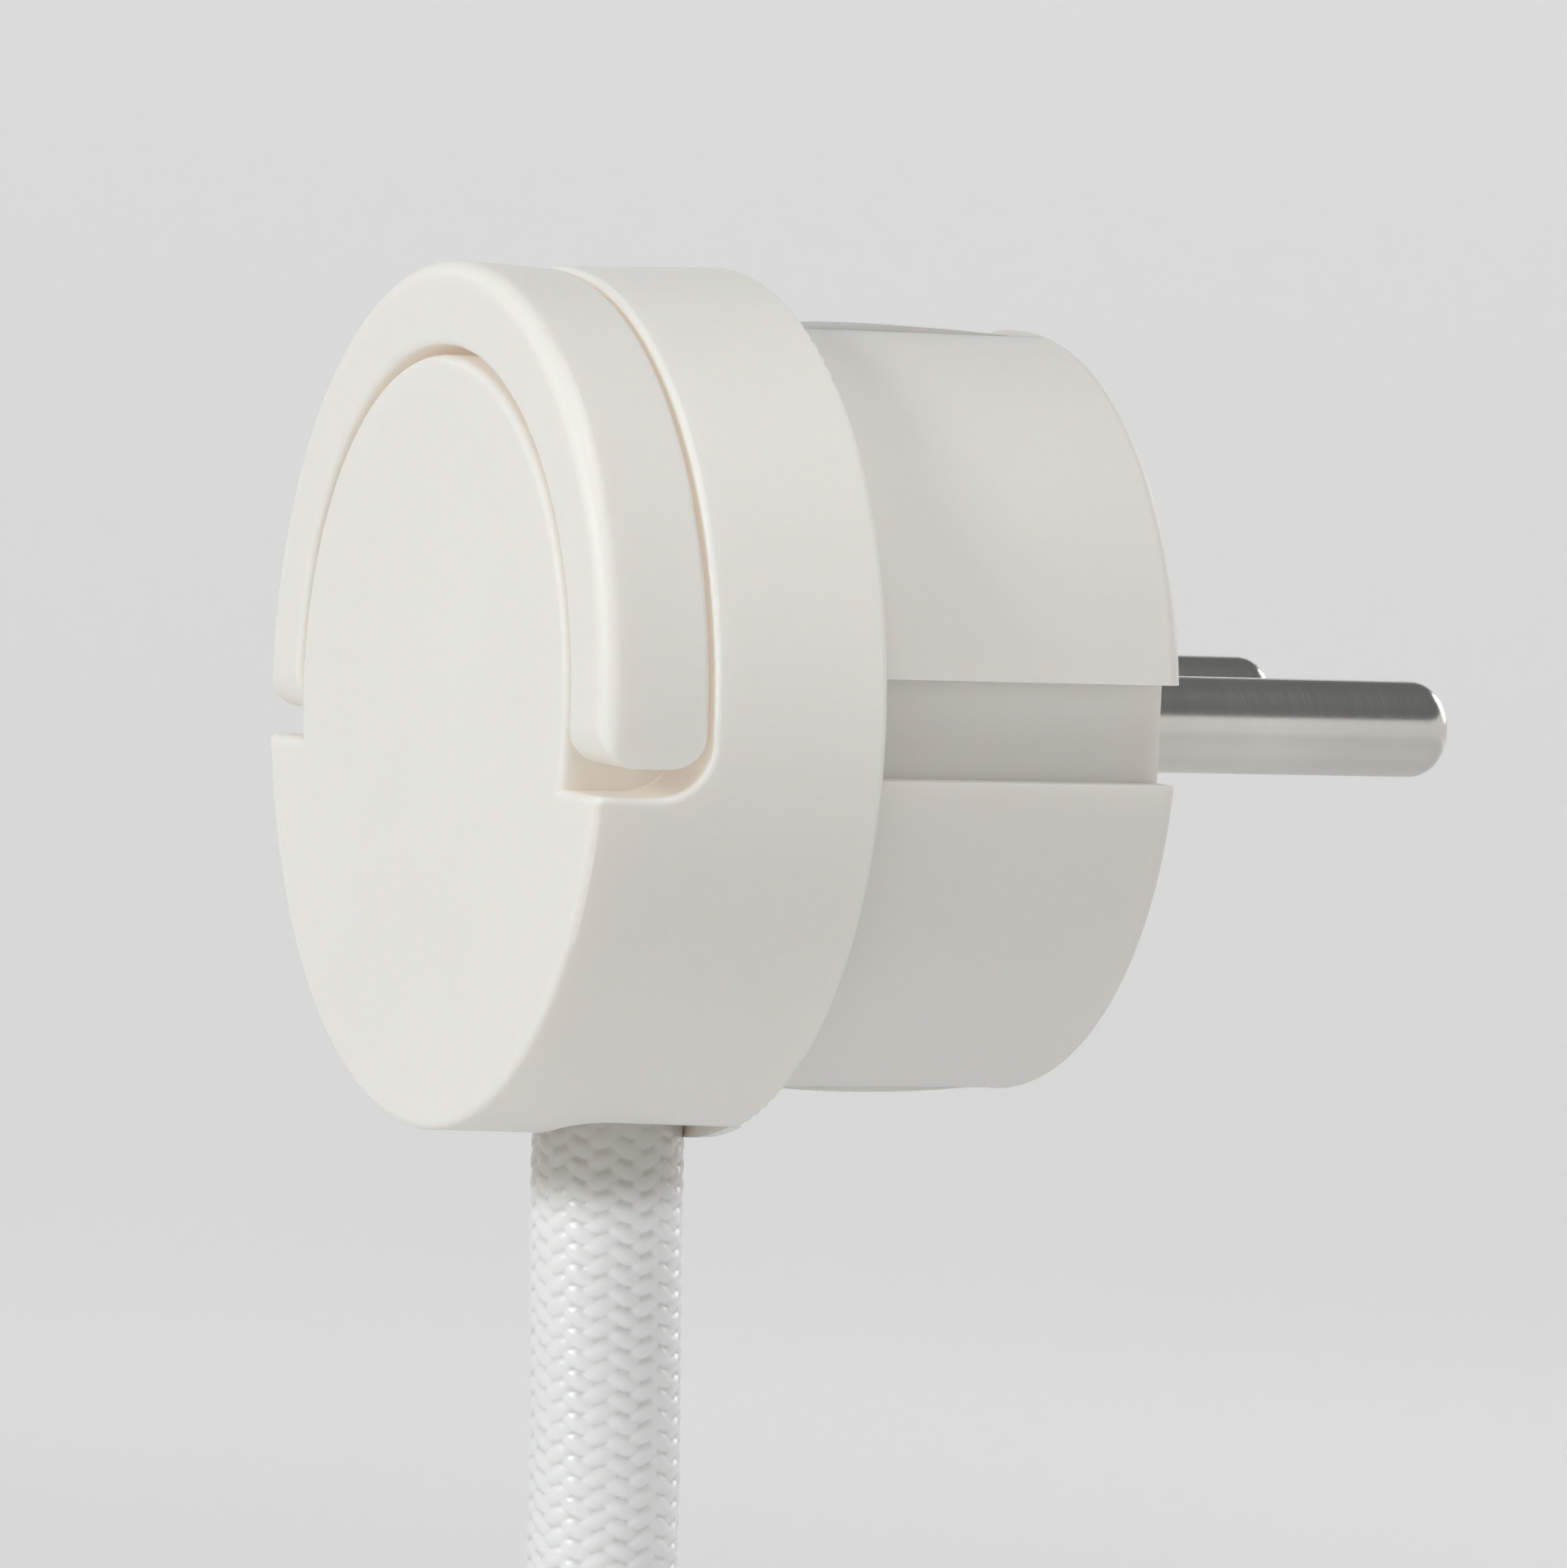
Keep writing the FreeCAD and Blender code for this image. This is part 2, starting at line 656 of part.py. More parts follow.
def clamp_bar():
    """The bar that presses the lead's sheath against its saddle."""
    half = clamp_width / 2
    rear = clamp_bar_y + clamp_thickness
    hump_half = sheath_radius + clamp_hump_side
    bar = block(-clamp_half_length, clamp_half_length, clamp_bar_y, rear,
                clamp_z - half, clamp_z + half)
    hump = block(-hump_half, hump_half, clamp_bar_y, rear + clamp_hump_rise,
                 clamp_z - half, clamp_z + half)
    bar = bar.fuse(hump)
    bar = bar.cut(cord_bore(clamp_bore_gap))
    for side in (-1, 1):
        bar = bar.cut(disc(small_screw_diameter / 2 + screw_gap, clamp_bar_y - 1, rear + 1,
                           side * clamp_screw_x, clamp_z))
    return largest(bar)


def clamp_screws():
    """Two small screws that hold the clamp bar on its posts."""
    screws = []
    for side in (-1, 1):
        screw = slotted_screw(small_screw_length, small_screw_diameter, small_screw_head,
                              small_screw_head_height, -1)
        screw.translate(V(side * clamp_screw_x, clamp_bar_y + clamp_thickness, clamp_z))
        screws.append(screw)
    return Part.makeCompound(screws)


def cord_grommet():
    """The soft bush that fills the notch round the lead, set back from the cap's side."""
    rear = seat_y - tongue_thickness - 0.05
    outer = cap_front_radius - grommet_recess
    lip_radius = cap_inner_radius - 0.05
    plug = notch(0.1, -insert_inner_radius, rear).common(shell(outer, lip_radius - 0.5, front_y, seat_y))
    half = notch_half_width + grommet_flange_lip
    flange = shell(lip_radius, lip_radius - grommet_flange, front_y, seat_y)
    flange_front_y = front_y + notch_from_front - grommet_flange_lip
    flange = flange.common(block(-half, half, flange_front_y, ledge_y - 0.05, -REACH / 2, 0))
    inner = notch(0.1, -lip_radius + grommet_flange + 1.5, rear)
    inner = inner.common(shell(lip_radius, lip_radius - grommet_flange, front_y, seat_y))
    return largest(plug.fuse(flange).fuse(inner).cut(cord_bore(grommet_bore_gap)).removeSplitter())


def core(points, name):
    """One insulated core of the lead."""
    return tube_along(points, core_diameter / 2, name)


def live_core():
    """The core to the right-hand pin."""
    return side_core(1, "live core")


def neutral_core():
    """The core to the left-hand pin."""
    return side_core(-1, "neutral core")


def side_core(side, name):
    """A core from the sheath's end to the terminal on one side."""
    terminal_bottom = -terminal_height / 2
    bend_z = terminal_bottom - core_diameter
    return core([(side * 1.6, cord_y - 1.2, sheath_end_z), (side * 1.6, cord_y - 1.2, bend_z),
                 (side * pin_x, terminal_mid_y, bend_z),
                 (side * pin_x, terminal_mid_y, terminal_bottom + core_seat)], name)


def earth_core():
    """The core that passes beside the screw post to the earth terminal."""
    bottom = earth_terminal_z - terminal_height / 2
    y = terminal_mid_y
    beside = housing_post_radius + core_diameter / 2 + 0.5
    return core([(0, cord_y + 2.1, sheath_end_z), (0, cord_y + 2.1, sheath_end_z + core_diameter),
                 (-beside, y - 0.3, -3.4), (-beside, y - 0.3, 2.4),
                 (0, y, bottom - 1.2), (0, y, bottom + core_seat)], "earth core")


def lead_route():
    """The lead from the sheath's end down to where it joins the coil's outer turn."""
    lay = math.sqrt(0.5) * outer_turn_radius
    rise = math.sqrt(0.5) * cord_lay_run
    rear_layer_y = coil_front_layer_y + (coil_layers - 1) * cord_diameter
    return [(0, cord_y, sheath_end_z), (0, cord_y, cord_bend_z),
            (0, cord_y + cord_lean * (cord_bend_z - cord_lean_z), cord_lean_z), cord_turn,
            (rise - lay, cord_lay_y, coil_centre_z + lay + rise),
            (-lay, rear_layer_y, coil_centre_z + lay)]


def cord():
    """The lead that hangs from the plug, a plain round tube."""
    return tube_along(lead_route(), sheath_radius, "lead")


def coil_section(gap, corner, place):
    """A rounded rectangle round the coil's bundle of turns; place turns (radial, y) into a point."""
    half_radial = coil_rows * cord_diameter / 2 + coil_slack + gap
    half_axial = coil_layers * cord_diameter / 2 + coil_slack + gap
    mid_y = coil_front_layer_y + (coil_layers - 1) * cord_diameter / 2
    low, high = coil_mean_radius - half_radial, coil_mean_radius + half_radial
    corners = [(low, mid_y - half_axial, corner), (high, mid_y - half_axial, corner),
               (high, mid_y + half_axial, corner), (low, mid_y + half_axial, corner)]
    return outline_face(corners, place)


def cord_coil():
    """The outer shape of the lead's tied coil."""
    face = coil_section(0.0, coil_corner, lambda a, b: V(a, b, coil_centre_z))
    return face.revolve(V(0, 0, coil_centre_z), ALONG_Y, 360)


def coil_tie():
    """The strap round the coil's top, curved with the coil, with its loose end."""
    outer_gap = tie_gap + tie_thickness
    above = lambda a, b: V(0, b, coil_centre_z + a)
    outside = coil_section(outer_gap, coil_corner + outer_gap, above)
    inside = coil_section(tie_gap, coil_corner + tie_gap, above)
    span = 2 * math.degrees(math.asin(tie_width / 2 / coil_mean_radius))
    axis = V(0, 0, coil_centre_z)
    strap = outside.cut(inside).Faces[0].revolve(axis, ALONG_Y, span)
    strap.rotate(axis, ALONG_Y, -span / 2)
    mid_y = coil_front_layer_y + (coil_layers - 1) * cord_diameter / 2
    top = coil_centre_z + coil_mean_radius + coil_rows * cord_diameter / 2 + coil_slack + outer_gap
    tail = block(-tie_width / 2, tie_width / 2, mid_y - tie_tail / 2, mid_y + tie_tail / 2,
                 top - MERGE, top + tie_tail_thickness)
    return largest(strap.fuse(tail).removeSplitter())


def cord_tail():
    """The lead's end from the coil down into the connector."""
    top = V(connector_x, connector_y, coil_centre_z)
    return Part.makeCylinder(sheath_radius, coil_centre_z - relief_bottom_z, top, V(0, 0, -1))


def upright_disc(radius, z0, z1):
    """A round bar along Z on the connector's axis."""
    return Part.makeCylinder(radius, z1 - z0, V(connector_x, connector_y, z0))


def connector_relief():
    """The tapered sleeve where the lead enters the connector, with its flexing rings."""
    sleeve = Part.makeCone(relief_bottom_radius, relief_top_radius, relief_length,
                           V(connector_x, connector_y, relief_bottom_z))
    pitch = (relief_length - relief_ring_width) / (relief_rings + 1)
    taper = (relief_bottom_radius - relief_top_radius) / relief_length
    for i in range(relief_rings):
        rise = pitch * (i + 1)
        z = relief_bottom_z + rise
        bottom_of_ring = relief_bottom_radius - taper * rise - relief_ring_depth
        ring = upright_disc(relief_bottom_radius + 1, z, z + relief_ring_width)
        sleeve = sleeve.cut(ring.cut(upright_disc(bottom_of_ring, z - 1, z + relief_ring_width + 1)))
    bore = upright_disc(sheath_radius + relief_bore_gap, relief_bottom_z - 1, relief_top_z + 1)
    return largest(sleeve.cut(bore))


def upright_block(half_x, half_y, corner, z0, z1):
    """A block along Z on the connector's axis with rounded corners."""
    x, y = connector_x, connector_y
    outline = [(x - half_x, y - half_y, corner), (x + half_x, y - half_y, corner),
               (x + half_x, y + half_y, corner), (x - half_x, y + half_y, corner)]
    return outline_face(outline, lambda a, b: V(a, b, z0)).extrude(V(0, 0, z1 - z0))


def connector_grip():
    """The connector's moulded grip."""
    grip = upright_block(grip_width / 2, grip_thickness / 2, grip_corner, grip_bottom_z, relief_bottom_z)
    ends = lambda e: min(abs(middle(e).z - grip_bottom_z), abs(middle(e).z - relief_bottom_z)) < 0.01
    return rounded_edges(grip, grip_edge_round, ends)


def nose_outline():
    """The nose's outline: two corners cut off so that it enters only one way."""
    x, y = connector_x, connector_y
    half_x, half_y, cut = nose_width / 2, nose_thickness / 2, nose_chamfer
    return [(x - half_x + cut, y - half_y, 0), (x + half_x - cut, y - half_y, 0),
            (x + half_x, y - half_y + cut, 0), (x + half_x, y + half_y, nose_round),
            (x - half_x, y + half_y, nose_round), (x - half_x, y - half_y + cut, 0)]


def slot_places():
    """The three contact slots: two in line and the earth between them, nearer the cut corners."""
    x, y = connector_x, connector_y
    half = contact_pitch / 2
    shift = contact_earth_offset / 2
    return [(x - half, y + shift), (x + half, y + shift), (x, y - shift)]


def connector_nose():
    """The nose that enters the appliance, with its three slots."""
    nose = outline_face(nose_outline(), lambda a, b: V(a, b, nose_bottom_z)).extrude(V(0, 0, nose_length))
    half_w, half_h = contact_slot_width / 2, contact_slot_height / 2
    for x, y in slot_places():
        nose = nose.cut(block(x - half_w, x + half_w, y - half_h, y + half_h,
                              nose_bottom_z - 1, nose_bottom_z + contact_slot_depth))
    return nose


def connector_contacts():
    """The sprung metal sleeve at the bottom of each slot."""
    half_w, half_h = contact_slot_width / 2 - contact_fit, contact_slot_height / 2 - contact_fit
    low, high = nose_bottom_z + contact_setback, nose_bottom_z + contact_slot_depth
    sleeves = []
    for x, y in slot_places():
        sleeve = block(x - half_w, x + half_w, y - half_h, y + half_h, low, high)
        hollow = block(x - half_w + contact_metal, x + half_w - contact_metal,
                       y - half_h + contact_metal, y + half_h - contact_metal,
                       low - 1, high - contact_metal)
        sleeves.append(sleeve.cut(hollow))
    return Part.makeCompound(sleeves)


NODES = {
    "front_cap": front_cap,
    "pull_ring": pull_ring,
    "hinge_pins": hinge_pins,
    "contact_insert": contact_insert,
    "contact_bridge": contact_bridge,
    "live_pin": lambda: contact_pin(1),
    "neutral_pin": lambda: contact_pin(-1),
    "earth_strap": earth_strap,
    "earth_terminal": earth_terminal,
    "earth_socket": earth_socket,
    "housing_screw": housing_screw,
    "terminal_screws": terminal_screws,
    "clamp_bar": clamp_bar,
    "clamp_screws": clamp_screws,
    "cord_grommet": cord_grommet,
    "live_core": live_core,
    "neutral_core": neutral_core,
    "earth_core": earth_core,
    "cord": cord,
    "cord_coil": cord_coil,
    "coil_tie": coil_tie,
    "cord_tail": cord_tail,
    "connector_relief": connector_relief,
    "connector_grip": connector_grip,
    "connector_nose": connector_nose,
    "connector_contacts": connector_contacts,
}


def main():
    os.makedirs("parts", exist_ok=True)
    for name, make in NODES.items():
        shape = make()
        shape.exportStep(f"parts/{name}.step")
        box = shape.BoundBox
        print(f"{name}: solids {len(shape.Solids)}, valid {shape.isValid()}, volume {shape.Volume:.1f}, "
              f"x {box.XMin:.2f} {box.XMax:.2f}, y {box.YMin:.2f} {box.YMax:.2f}, "
              f"z {box.ZMin:.2f} {box.ZMax:.2f}")


main()
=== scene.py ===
import bpy
import math
import numpy as np
from mathutils import Matrix, Vector


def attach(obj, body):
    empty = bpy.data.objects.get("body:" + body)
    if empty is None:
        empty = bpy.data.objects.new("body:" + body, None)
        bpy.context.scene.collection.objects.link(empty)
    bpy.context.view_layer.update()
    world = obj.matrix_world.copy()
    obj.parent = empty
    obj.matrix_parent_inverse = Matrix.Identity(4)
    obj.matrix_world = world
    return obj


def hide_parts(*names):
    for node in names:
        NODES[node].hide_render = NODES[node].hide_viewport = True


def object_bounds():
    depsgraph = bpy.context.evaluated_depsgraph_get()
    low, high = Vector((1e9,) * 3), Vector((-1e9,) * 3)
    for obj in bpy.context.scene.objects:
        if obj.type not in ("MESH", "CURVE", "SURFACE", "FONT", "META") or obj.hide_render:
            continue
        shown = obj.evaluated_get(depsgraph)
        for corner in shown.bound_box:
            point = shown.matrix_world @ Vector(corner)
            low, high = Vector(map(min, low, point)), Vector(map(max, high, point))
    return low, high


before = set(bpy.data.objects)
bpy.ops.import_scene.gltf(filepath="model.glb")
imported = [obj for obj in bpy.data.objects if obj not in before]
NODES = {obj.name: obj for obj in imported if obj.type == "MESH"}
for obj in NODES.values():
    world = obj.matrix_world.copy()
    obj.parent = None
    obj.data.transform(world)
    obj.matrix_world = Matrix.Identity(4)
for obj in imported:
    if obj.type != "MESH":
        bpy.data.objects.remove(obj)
cad_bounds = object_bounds()

# The lead's sizes and places, in metres, as in the part's source
CORD_DIAMETER = 0.0074
CORD_Y = -0.0212
CORD_EXIT_Z = -0.0215
CORD_TOP = [(0, CORD_Y, -0.0088), (0, CORD_Y, CORD_EXIT_Z),
            (0, -0.020236, -0.042), (-0.0025, -0.01935, -0.064)]
CORD_LAY_Y = -0.0183
CORD_LAY_RUN = 0.0233           # the run that joins the coil
COIL_CENTRE_Z = -0.136
COIL_OUTER = 0.0452             # the middle of the outer turns
COIL_INNER = COIL_OUTER - CORD_DIAMETER
COIL_FRONT_Y = -0.0326
CONNECTOR_TOP_Z = -0.191
CORD_LAST_RUN = 0.015

# The coil's turns, in degrees
COIL_START = 135
COIL_STEP = 15
COIL_LAST_SPAN = 46             # of the turn that leads to the connector
CHANGE_START = 435              # where the first turn starts to move over to the next one's place
CHANGE_EARLIER = 45             # how much sooner each later turn does
CHANGE_SPAN = 55

# The lead's weave
BRAID_COLUMNS = 20
BRAID_PITCH = 0.00104
BRAID_HEIGHT = 0.00026
YARN_LEAN = 0.35                # a yarn's slant where it shows, in pitches for each column
YARN_HALF_WIDTH = 0.86          # in columns
YARN_HALF_HEIGHT = 0.51         # in pitches
WEAVE_START = 0.0115            # of the stretch whose weave is modelled; elsewhere the material has it
WEAVE_END = 0.0445
WEAVE_FADE = 0.002
WEAVE_MEAN = 0.6                # the height that lies on the lead's diameter
CAP_SHADE = (0.0142, 0.0168)    # where the lead comes out of the cap's painted shadow
RINGS_PER_PITCH = 9
RING_STEP_HIDDEN = 0.0025       # between the tube's rings inside the cap
RING_STEP_COILED = 0.0045
SIDES_PER_COLUMN = 7

# Floor and backdrop
FLOOR_BELOW = 0.002             # under the part's lowest point
FLOOR_RADII = (0.8, 2.0)
SWEEP_RADIUS = 1.0
SWEEP_STEPS = 8
SWEEP_TOP = 1.4
FLOOR_SIDES = 96
FLOOR_GLOW = {"From Min": 0.5, "From Max": 1.6, "To Min": 0.0, "To Max": 0.32}


def make_camera():
    """The camera at the photograph's place and angle."""
    data = bpy.data.cameras.new("camera")
    data.sensor_width = 36.0
    data.lens = 223.6
    data.clip_start = 0.01
    data.clip_end = 50.0
    camera = bpy.data.objects.new("camera", data)
    bpy.context.scene.collection.objects.link(camera)
    right = Vector((0.4153979, 0.9084418, 0.0466698))
    up = Vector((-0.0775084, -0.0157707, 0.9968670))
    back = Vector((0.9063316, -0.4177138, 0.0638607))
    turn = Matrix((right, up, back)).transposed().to_4x4()
    camera.matrix_world = Matrix.Translation((0.438236, -0.21440, 0.026916)) @ turn
    bpy.context.scene.camera = camera


# Materials

class Mat:
    """A small helper that adds and links the nodes of one material."""

    def __init__(self, name):
        self.material = bpy.data.materials.new(name)
        self.material.use_nodes = True
        self.tree = self.material.node_tree
        self.shader = self.tree.nodes["Principled BSDF"]

    def node(self, kind, **values):
        made = self.tree.nodes.new(kind)
        for key, value in values.items():
            setattr(made, key, value)
        return made

    def link(self, source, target):
        self.tree.links.new(source, target)

    def set(self, **values):
        """Set the shader's own sockets; an underscore stands for a space."""
        for key, value in values.items():
            self.shader.inputs[key.replace("_", " ")].default_value = value

    def math(self, operation, a, b=0.0):
        made = self.node("ShaderNodeMath", operation=operation)
        for socket, value in zip(made.inputs, (a, b)):
            if isinstance(value, (int, float)):
                socket.default_value = value
            else:
                self.link(value, socket)
        return made.outputs[0]

    def noise(self, scale, detail=2.0, stretch=None):
        coords = self.node("ShaderNodeTexCoord").outputs["Object"]
        if stretch is not None:
            mapping = self.node("ShaderNodeMapping")
            mapping.inputs["Scale"].default_value = stretch
            self.link(coords, mapping.inputs["Vector"])
            coords = mapping.outputs["Vector"]
        made = self.node("ShaderNodeTexNoise")
        made.inputs["Scale"].default_value = scale
        made.inputs["Detail"].default_value = detail
        self.link(coords, made.inputs["Vector"])
        return made.outputs["Fac"]

    def ramp(self, factor, low, high, start=0.35, end=0.65):
        made = self.node("ShaderNodeValToRGB")
        made.color_ramp.elements[0].position = start
        made.color_ramp.elements[1].position = end
        made.color_ramp.elements[0].color = (*low, 1.0)
        made.color_ramp.elements[1].color = (*high, 1.0)
        self.link(factor, made.inputs["Fac"])
        return made.outputs["Color"]

    def between(self, factor, low, high):
        made = self.node("ShaderNodeMapRange")
        made.inputs["To Min"].default_value = low
        made.inputs["To Max"].default_value = high
        self.link(factor, made.inputs["Value"])
        return made.outputs["Result"]

    def smooth_step(self, value, ends):
        made = self.node("ShaderNodeMapRange", interpolation_type="SMOOTHSTEP")
        for name, end in ends.items():
            made.inputs[name].default_value = end
        self.link(value, made.inputs["Value"])
        return made.outputs["Result"]

    def glow(self, colour, strength):
        """A faint glow; sampled as a lamp, it would look the same and take longer."""
        self.set(Emission_Color=colour)
        self.link(strength, self.shader.inputs["Emission Strength"])
        self.material.cycles.emission_sampling = "NONE"

    def bump(self, height, strength, distance):
        made = self.node("ShaderNodeBump")
        made.inputs["Strength"].default_value = strength
        made.inputs["Distance"].default_value = distance
        self.link(height, made.inputs["Height"])
        self.link(made.outputs["Normal"], self.shader.inputs["Normal"])


def plastic(name, colour, roughness=0.42, scatter=0.35, grain=0.00001):
    """A moulded plastic: a little light passes into it, with a fine grain and faint unevenness."""
    mat = Mat(name)
    darker = tuple(0.985 * c for c in colour)
    mat.link(mat.ramp(mat.noise(60.0, 3.0), darker, colour), mat.shader.inputs["Base Color"])
    uneven = mat.between(mat.noise(420.0, 4.0), roughness - 0.04, roughness + 0.05)
    mat.link(uneven, mat.shader.inputs["Roughness"])
    mat.set(Subsurface_Weight=scatter, Subsurface_Radius=(0.0016, 0.0009, 0.0006), Subsurface_Scale=1.0,
            IOR=1.46)
    mat.bump(mat.noise(5200.0, 2.0), 0.25, grain)
    return mat


def painted_gap_glow(mat):
    """Paint a faint warm glow into narrow gaps, standing in for light that has passed through the plastic.
    """
    open_way = mat.node("ShaderNodeAmbientOcclusion", samples=2)
    open_way.inputs["Distance"].default_value = 0.006
    narrow = mat.math("SUBTRACT", 1.0, open_way.outputs["AO"])
    mat.glow((1.0, 0.81, 0.66, 1.0), mat.math("MULTIPLY", narrow, 0.10))
    return mat


def metal(name, colour, roughness=0.25):
    """A plated or turned metal with fine tool marks."""
    mat = Mat(name)
    darker = tuple(0.9 * c for c in colour)
    mat.link(mat.ramp(mat.noise(90.0, 3.0), darker, colour), mat.shader.inputs["Base Color"])
    marks = mat.between(mat.noise(300.0, 5.0, (1.0, 30.0, 1.0)), roughness - 0.07, roughness + 0.1)
    mat.link(marks, mat.shader.inputs["Roughness"])
    mat.set(Metallic=1.0)
    mat.bump(mat.noise(900.0, 3.0, (1.0, 14.0, 1.0)), 0.2, 0.00002)
    return mat


def sheath():
    """The lead's woven sheath: pale glossy yarns, with painted shade between them and a painted shadow
    where the cap shades them.
    """
    mat = Mat("woven_sheath")
    place = mat.node("ShaderNodeSeparateXYZ")
    mat.link(mat.node("ShaderNodeUVMap", uv_map="along").outputs["UV"], place.inputs["Vector"])
    turn, along = place.outputs["X"], place.outputs["Y"]
    yarn = woven_yarns(mat, turn, along)
    fibre = mat.noise(2600.0, 3.0)
    patches = mat.math("MULTIPLY", mat.noise(700.0, 1.0), 0.6)
    uneven = mat.math("ADD", mat.math("MULTIPLY", fibre, 0.2), patches)
    # Painted shade: the colour is darker between the yarns, where shade falls, mixed with random tone
    shade_and_tone = mat.math("ADD", yarn, mat.math("SUBTRACT", uneven, 0.4))
    pale = mat.ramp(shade_and_tone, (0.72, 0.715, 0.69), (0.95, 0.95, 0.93), 0.05, 0.75)
    # Painted shadow: the cap's shadow on the lead, darkened into its colour
    lit = mat.smooth_step(along, {"From Min": CAP_SHADE[0], "From Max": CAP_SHADE[1]})
    colour = mat.node("ShaderNodeVectorMath", operation="MULTIPLY")
    mat.link(pale, colour.inputs[0])
    mat.link(mat.ramp(lit, (0.57, 0.545, 0.50), (1.0, 1.0, 1.0), 0.0, 1.0), colour.inputs[1])
    mat.link(colour.outputs["Vector"], mat.shader.inputs["Base Color"])
    mat.link(mat.between(fibre, 0.25, 0.5), mat.shader.inputs["Roughness"])
    mat.set(Subsurface_Weight=0.15, Subsurface_Radius=(0.0003, 0.00025, 0.0002), Subsurface_Scale=1.0,
            IOR=1.55, Coat_Weight=1.0, Coat_Roughness=0.34, Coat_IOR=2.0)
    not_modelled = mat.math("GREATER_THAN", along, WEAVE_END)
    mat.bump(mat.math("MULTIPLY", yarn, not_modelled), 1.0, BRAID_HEIGHT)
    return mat


def woven_yarns(mat, turn, along):
    """Nodes that give the weave's height from 0 to 1, as yarn_height() does for the modelled stretch."""
    across = mat.math("MULTIPLY", turn, BRAID_COLUMNS)
    column = mat.math("FLOOR", across)
    rows = mat.math("DIVIDE", along, BRAID_PITCH)
    odd = mat.math("MODULO", column, 2.0)
    inside = mat.math("SUBTRACT", mat.math("SUBTRACT", across, column), 0.5)
    beyond = mat.math("SUBTRACT", inside, mat.math("SIGN", inside))
    ovals = []
    for a, parity in ((inside, odd), (beyond, mat.math("SUBTRACT", 1.0, odd))):
        lean = mat.math("MULTIPLY", mat.math("SUBTRACT", 0.5, parity), 2 * YARN_LEAN)
        b = mat.math("ADD", rows, mat.math("MULTIPLY", parity, 0.5))
        b = mat.math("FRACT", mat.math("ADD", b, mat.math("MULTIPLY", lean, a)))
        b = mat.math("SUBTRACT", b, 0.5)
        out = mat.math("SUBTRACT", 1.0, mat.math("POWER", mat.math("DIVIDE", a, YARN_HALF_WIDTH), 2.0))
        out = mat.math("SUBTRACT", out, mat.math("POWER", mat.math("DIVIDE", b, YARN_HALF_HEIGHT), 2.0))
        ovals.append(mat.math("SQRT", mat.math("MAXIMUM", out, 0.0)))
    return mat.math("MAXIMUM", *ovals)


def tape():
    """The tie's hook-and-loop tape."""
    mat = Mat("tie_tape")
    fuzz = mat.noise(3000.0, 4.0)
    mat.link(mat.ramp(fuzz, (0.36, 0.36, 0.35), (0.62, 0.62, 0.60)), mat.shader.inputs["Base Color"])
    mat.set(Roughness=0.9, Sheen_Weight=0.5)
    mat.bump(fuzz, 0.8, 0.0003)
    return mat


# The lead

def cord_route():
    """The lead's route: down from the plug, round the coil's turns and down into the connector."""
    lay = math.sqrt(0.5) * COIL_OUTER
    rise = math.sqrt(0.5) * CORD_LAY_RUN
    rear_y = COIL_FRONT_Y + 2 * CORD_DIAMETER
    middle_y = rear_y - CORD_DIAMETER
    points = CORD_TOP + [(rise - lay, CORD_LAY_Y, COIL_CENTRE_Z + lay + rise)]
    places = [(COIL_OUTER, rear_y), (COIL_INNER, rear_y), (COIL_INNER, middle_y),
              (COIL_OUTER, middle_y), (COIL_INNER, COIL_FRONT_Y), (COIL_OUTER, COIL_FRONT_Y)]
    for turn, (here, after) in enumerate(zip(places, places[1:] + places[-1:])):
        span = COIL_LAST_SPAN if after is here else 360
        change = CHANGE_START - CHANGE_EARLIER * turn
        for angle in range(COIL_START, COIL_START + span, COIL_STEP):
            part = min(max((angle - change) / CHANGE_SPAN, 0.0), 1.0)
            part = part * part * (3 - 2 * part)
            radius = here[0] + (after[0] - here[0]) * part
            y = here[1] + (after[1] - here[1]) * part
            a = math.radians(angle)
            points.append((radius * math.cos(a), y, COIL_CENTRE_Z + radius * math.sin(a)))
    points.append((-COIL_OUTER, COIL_FRONT_Y, COIL_CENTRE_Z - CORD_LAST_RUN))
    points.append((-COIL_OUTER, COIL_FRONT_Y, CONNECTOR_TOP_Z))
    return points


def smooth_line(points):
    """The points of a smooth spline that has the given points as its control points."""
    curve = bpy.data.curves.new("lead_route", "CURVE")
    curve.dimensions = "3D"
    curve.resolution_u = 16
    spline = curve.splines.new("NURBS")
    spline.points.add(len(points) - 1)
    for point, place in zip(spline.points, points):
        point.co = (*place, 1.0)
    spline.order_u = 3
    spline.use_endpoint_u = True
    route = bpy.data.objects.new("lead_route", curve)
    bpy.context.scene.collection.objects.link(route)
    bpy.context.view_layer.update()
    line = bpy.data.meshes.new_from_object(route.evaluated_get(bpy.context.evaluated_depsgraph_get()))
    bpy.data.objects.remove(route)
    return np.array([v.co[:] for v in line.vertices])


def distances(line):
    """How far along a line each of its points is."""
    steps = np.linalg.norm(np.diff(line, axis=0), axis=1)
    return np.concatenate([[0.0], np.cumsum(steps)])


def ring_stations(length):
    """Where the tube has its rings: close together on the stretch whose weave is modelled."""
    hidden = np.arange(0.0, WEAVE_START, RING_STEP_HIDDEN)
    fine = np.arange(WEAVE_START, WEAVE_END + 0.001, BRAID_PITCH / RINGS_PER_PITCH)
    coarse = np.arange(fine[-1] + 0.004, length, RING_STEP_COILED)
    return np.concatenate([hidden, fine, coarse, [length]])


